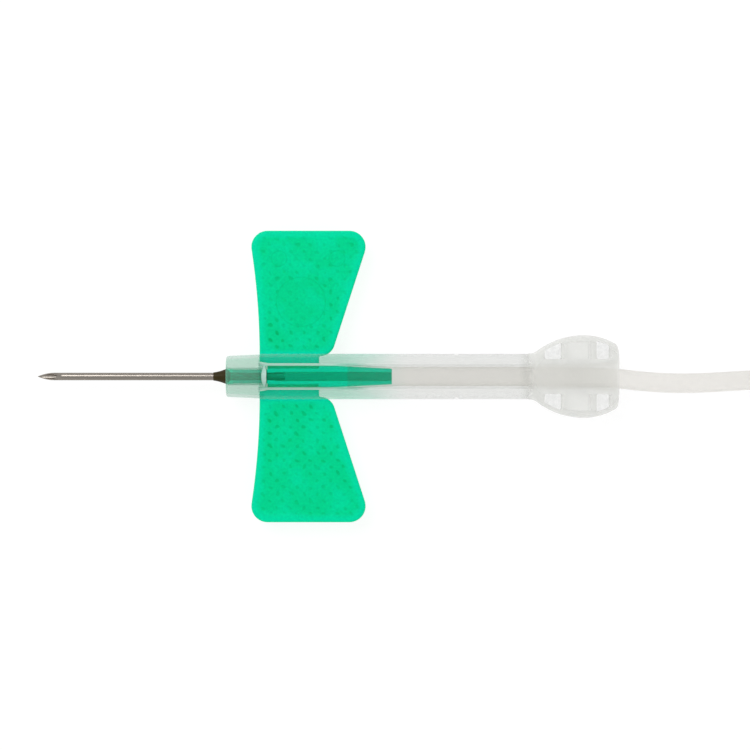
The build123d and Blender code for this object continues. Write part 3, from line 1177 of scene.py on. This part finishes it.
class NEEDLE_OT_metal_and_mouldings(bpy.types.Operator):
    """Give the cannula, the shield, its cap and the fittings their materials"""

    bl_idname = "needle.mouldings"
    bl_label = "Cannula and mouldings"

    def execute(self, context):
        colours = context.scene.needle_colours
        finishes = {
            "needle_cannula": drawn_stainless_steel(colours),
            "shield": moulded_polypropylene(
                colours,
                "moulded_polypropylene",
                glow=colours.glow,
                extra=0.01,
                thick=(20.5, 22.5, 0.28, colours.drum),
            ),
            "front_cap": moulded_polypropylene(
                colours,
                "moulded_polypropylene_cap",
                glow=colours.cap_glow,
                extra=0.18,
                # Painted highlight across the end of the cap's spigot
                end=(-6.78, 0.31, 1.3, colours.lens),
            ),
            "luer_connector": moulded_clear_abs(colours),
            "luer_plug": moulded_polyethylene(colours),
        }
        for node, material in finishes.items():
            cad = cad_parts[node]
            cad.data.materials.clear()
            cad.data.materials.append(material)
        return {"FINISHED"}


def drum_reach(x, inset):
    """Distance from the axis to the drum's outer arcs, moved inwards, at a place along X."""
    radius = DRUM_ARCS[0] if x < X_PEAK else DRUM_ARCS[1]
    return DRUM_R - radius + math.sqrt((radius - inset) ** 2 - (x - X_PEAK) ** 2)


class NEEDLE_OT_drum_webs(bpy.types.Operator):
    """Make the thin milky webs that the mould leaves across the drum's pockets"""

    bl_idname = "needle.drum_webs"
    bl_label = "Drum webs"

    def execute(self, context):
        milky = web_of_polypropylene(context.scene.needle_colours)
        points, faces = [], []
        gap = POCKET_WEB_GAP
        for start, end in POCKETS:
            places = np.linspace(start + gap, end - gap, 15)
            arc = [(x, drum_reach(x, DRUM_WALL + gap)) for x in places]
            outline = [(start + gap, SLEEVE_R + gap), *arc, (end - gap, SLEEVE_R + gap)]
            count = len(outline)
            for side in (1, -1):
                first = len(points)
                for half in (POCKET_WEB_HALF, -POCKET_WEB_HALF):
                    points += [(x, side * y, AXIS_Z + half) for x, y in outline]
                top = list(range(first, first + count))
                under = list(range(first + count, first + 2 * count))
                ring = zip(top, top[1:] + top[:1], under, under[1:] + under[:1])
                plates = [top[::-1], under] + [(a, b, d, c) for a, b, c, d in ring]
                faces += [face if side > 0 else face[::-1] for face in plates]
        webs = new_piece("drum_webs", points, faces, milky, smooth=False)
        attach(webs, "sliding_shield")
        return {"FINISHED"}


def coil_points():
    """Control points of the coil, nearly two turns that climb a layer, and of the tail past it."""
    reach = COIL_RADIUS / SPLINE_SHARE
    points = []
    turn = 0.0
    while turn <= COIL_TURN:
        angle = math.radians(turn - 90)
        climb = (turn - COIL_RAMP[0]) / (COIL_RAMP[1] - COIL_RAMP[0])
        climb = min(max(climb, 0.0), 1.0)
        z = COIL_LOW + (COIL_HIGH - COIL_LOW) * climb
        points.append(
            (COIL_CENTRE[0] + reach * math.cos(angle), COIL_CENTRE[1] + reach * math.sin(angle), z)
        )
        turn += COIL_STEP
    angle = math.radians(COIL_TURN - 90)
    heading = angle + math.pi / 2
    leaving = (
        COIL_CENTRE[0] + COIL_RADIUS * math.cos(angle),
        COIL_CENTRE[1] + COIL_RADIUS * math.sin(angle),
    )
    for along in (2.0, 7.0, TAIL_RUN):
        points.append(
            (
                leaving[0] + along * math.cos(heading),
                leaving[1] + along * math.sin(heading),
                COIL_HIGH,
            )
        )
    return points


class NEEDLE_OT_tubing(bpy.types.Operator):
    """Run the tubing from the hub's tail through the shield to the coil and its connector"""

    bl_idname = "needle.tubing"
    bl_label = "Tubing"

    def execute(self, context):
        sizes = context.scene.needle_sizes
        points = ROUTE + coil_points()
        curve = bpy.data.curves.new("tubing_run", "CURVE")
        curve.dimensions = "3D"
        curve.bevel_depth = sizes.tube / 2
        curve.bevel_resolution = 8
        curve.resolution_u = 10
        curve.use_fill_caps = True
        spline = curve.splines.new("NURBS")
        spline.points.add(len(points) - 1)
        for spot, point in zip(spline.points, points):
            spot.co = (*[c * MM for c in point], 1.0)
        # The tube is stretched where it goes over the hub's tail
        spline.points[0].radius = LAP_STRETCH
        spline.order_u = 3
        spline.use_endpoint_u = True
        curve.materials.append(extruded_clear_pvc(context.scene.needle_colours))
        tubing = bpy.data.objects.new("tubing_run", curve)
        context.scene.collection.objects.link(tubing)
        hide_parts("tubing", "tubing_coil", "tubing_tail")
        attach(tubing, "root")
        return {"FINISHED"}


class NEEDLE_OT_stage(bpy.types.Operator):
    """Make the pale floor, the soft studio light and the camera"""

    bl_idname = "needle.stage"
    bl_label = "Stage"

    def execute(self, context):
        scene = context.scene
        material, output = new_material("matt_white_board")
        board = add_node(
            material,
            "ShaderNodeBsdfPrincipled",
            {
                "Base Color": scene.needle_colours.floor,
                "Roughness": 0.9,
                "Specular IOR Level": 0.0,
                "Emission Color": (1, 1, 1, 1),
                "Emission Strength": 0.86,
            },
        )
        finish_with(material, output, board)
        mesh = bpy.data.meshes.new("floor")
        mesh.from_pydata([(-1, -1, 0), (1, -1, 0), (1, 1, 0), (-1, 1, 0)], [], [(0, 1, 2, 3)])
        mesh.materials.append(material)
        floor = bpy.data.objects.new("floor", mesh)
        scene.collection.objects.link(floor)

        world = bpy.data.worlds.new("studio")
        world.use_nodes = True
        sky = world.node_tree.nodes["Background"]
        sky.inputs["Color"].default_value = (1, 1, 1, 1)
        sky.inputs["Strength"].default_value = 0.55
        scene.world = world

        for name, energy, size, place in (
            ("key_softbox", 0.75, 0.25, (-0.15, 0.2, 0.35)),
            ("fill_softbox", 0.2, 0.3, (0.2, -0.2, 0.3)),
        ):
            data = bpy.data.lights.new(name, "AREA")
            data.energy = energy
            data.size = size
            lamp = bpy.data.objects.new(name, data)
            lamp.location = place
            aim = Vector((0.0, 0.0, 0.0)) - Vector(place)
            lamp.rotation_euler = aim.to_track_quat("-Z", "Y").to_euler()
            scene.collection.objects.link(lamp)

        data = bpy.data.cameras.new("camera")
        data.lens = 150
        data.clip_start = 0.01
        camera = bpy.data.objects.new("camera", data)
        height = AXIS_Z + VIEW_WIDTH * data.lens / data.sensor_width
        camera.location = [c * MM for c in (*VIEW_CENTRE, height)]
        scene.collection.objects.link(camera)
        scene.camera = camera
        scene.view_settings.view_transform = "Standard"
        return {"FINISHED"}


class NEEDLE_PT_panel(bpy.types.Panel):
    """The pieces and finishes of the butterfly needle"""

    bl_idname = "NEEDLE_PT_panel"
    bl_label = "Butterfly needle"
    bl_space_type = "VIEW_3D"
    bl_region_type = "UI"
    bl_category = "Butterfly needle"

    def draw(self, context):
        layout = self.layout
        for group in (context.scene.needle_sizes, context.scene.needle_colours):
            box = layout.box()
            for name in group.__annotations__:
                box.prop(group, name)
        for operator in OPERATORS:
            layout.operator(operator.bl_idname)


OPERATORS = (
    NEEDLE_OT_stage,
    NEEDLE_OT_tubing,
    NEEDLE_OT_wings,
    NEEDLE_OT_adhesive,
    NEEDLE_OT_metal_and_mouldings,
    NEEDLE_OT_drum_webs,
)
GROUPS = (NeedleSizes, NeedleColours)


def register():
    for kind in (*GROUPS, *OPERATORS, NEEDLE_PT_panel):
        bpy.utils.register_class(kind)
    bpy.types.Scene.needle_sizes = bpy.props.PointerProperty(type=NeedleSizes)
    bpy.types.Scene.needle_colours = bpy.props.PointerProperty(type=NeedleColours)


def unregister():
    del bpy.types.Scene.needle_sizes
    del bpy.types.Scene.needle_colours
    for kind in reversed((*GROUPS, *OPERATORS, NEEDLE_PT_panel)):
        bpy.utils.unregister_class(kind)


def main():
    register()
    bpy.ops.needle.stage()
    bpy.ops.needle.tubing()
    bpy.ops.needle.wings()
    bpy.ops.needle.adhesive()
    bpy.ops.needle.mouldings()
    bpy.ops.needle.drum_webs()


if __name__ == "__main__":
    main()
